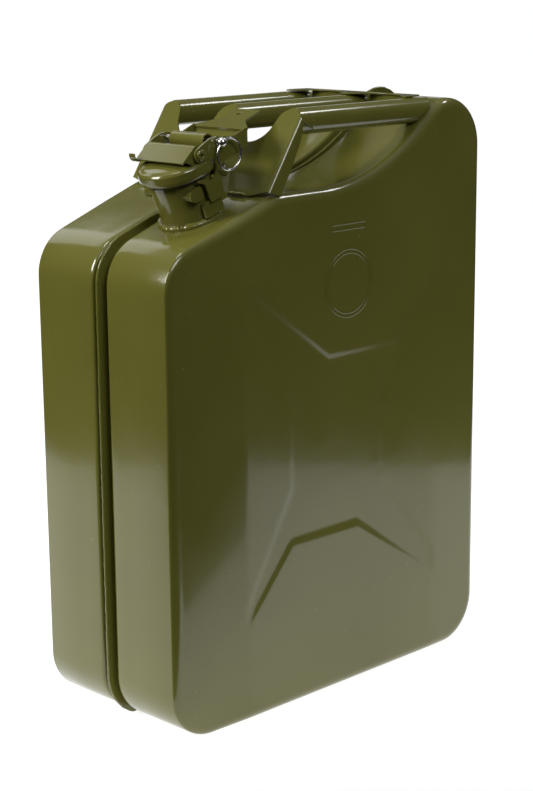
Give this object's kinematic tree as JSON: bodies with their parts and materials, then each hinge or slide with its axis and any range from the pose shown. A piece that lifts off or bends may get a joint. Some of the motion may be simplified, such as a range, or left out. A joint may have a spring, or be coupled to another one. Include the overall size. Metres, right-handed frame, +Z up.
{
  "type": "jerry can",
  "caption": "Flat-sided pressed-steel fuel can of two welded half shells with a three-tube carrying handle, an offset tilted filler neck and a lever-locked swing lid.",
  "frame": {"origin": "centre of the bounding box on the floor plane under the can", "axes": "+Z up, +Y from the spout end to the rear, +X towards the wide face nearest the filler neck"},
  "size_m": [0.16, 0.352, 0.4696],
  "materials": {
    "olive_paint": "gloss olive-drab enamel on pressed sheet steel",
    "bare_steel": "bright zinc-plated wire and rod",
    "black_rubber": "matt black moulded rubber"
  },
  "bodies": {
    "can": {"half_shell_right": "olive_paint", "half_shell_left": "olive_paint", "neck": "olive_paint", "neck_weld": "olive_paint", "neck_bracket": "olive_paint", "breather_tube": "olive_paint", "hinge_pin": "olive_paint", "handle_tube_left": "olive_paint", "handle_tube_middle": "olive_paint", "handle_tube_right": "olive_paint", "handle_bracket": "olive_paint", "handle_rear_plate": "olive_paint"},
    "lid": {"lid": "olive_paint", "lid_gasket": "black_rubber", "gasket_retainer": "olive_paint", "lid_saddle": "olive_paint", "lever_pin": "olive_paint"},
    "lever": {"lever": "olive_paint", "pin_sleeve": "olive_paint"},
    "safety_pin": {"safety_pin": "bare_steel"},
    "pull_ring": {"pull_ring": "bare_steel"}
  },
  "joints": [
    {"name": "lid_swing", "type": "hinge", "parent": "can", "child": "lid", "pos_m": [0.033, -0.08908, 0.42116], "axis": [-1, 0, 0], "range_deg": [0, 70]},
    {"name": "lever_lift", "type": "hinge", "parent": "lid", "child": "lever", "pos_m": [0.033, -0.12539, 0.43614], "axis": [1, 0, 0], "range_deg": [0, 140]},
    {"name": "safety_pin_pull", "type": "slide", "parent": "lever", "child": "safety_pin", "axis": [1, 0, 0], "range_m": [0, 0.06]},
    {"name": "ring_swing", "type": "hinge", "parent": "safety_pin", "child": "pull_ring", "pos_m": [0.0662, -0.10886, 0.44482], "axis": [0, -0.7909, -0.6119], "range_deg": [0, 90]}
  ],
  "couplings": [
    {"joint": "lever_lift", "follows": "lid_swing", "ratio": 2}
  ]
}
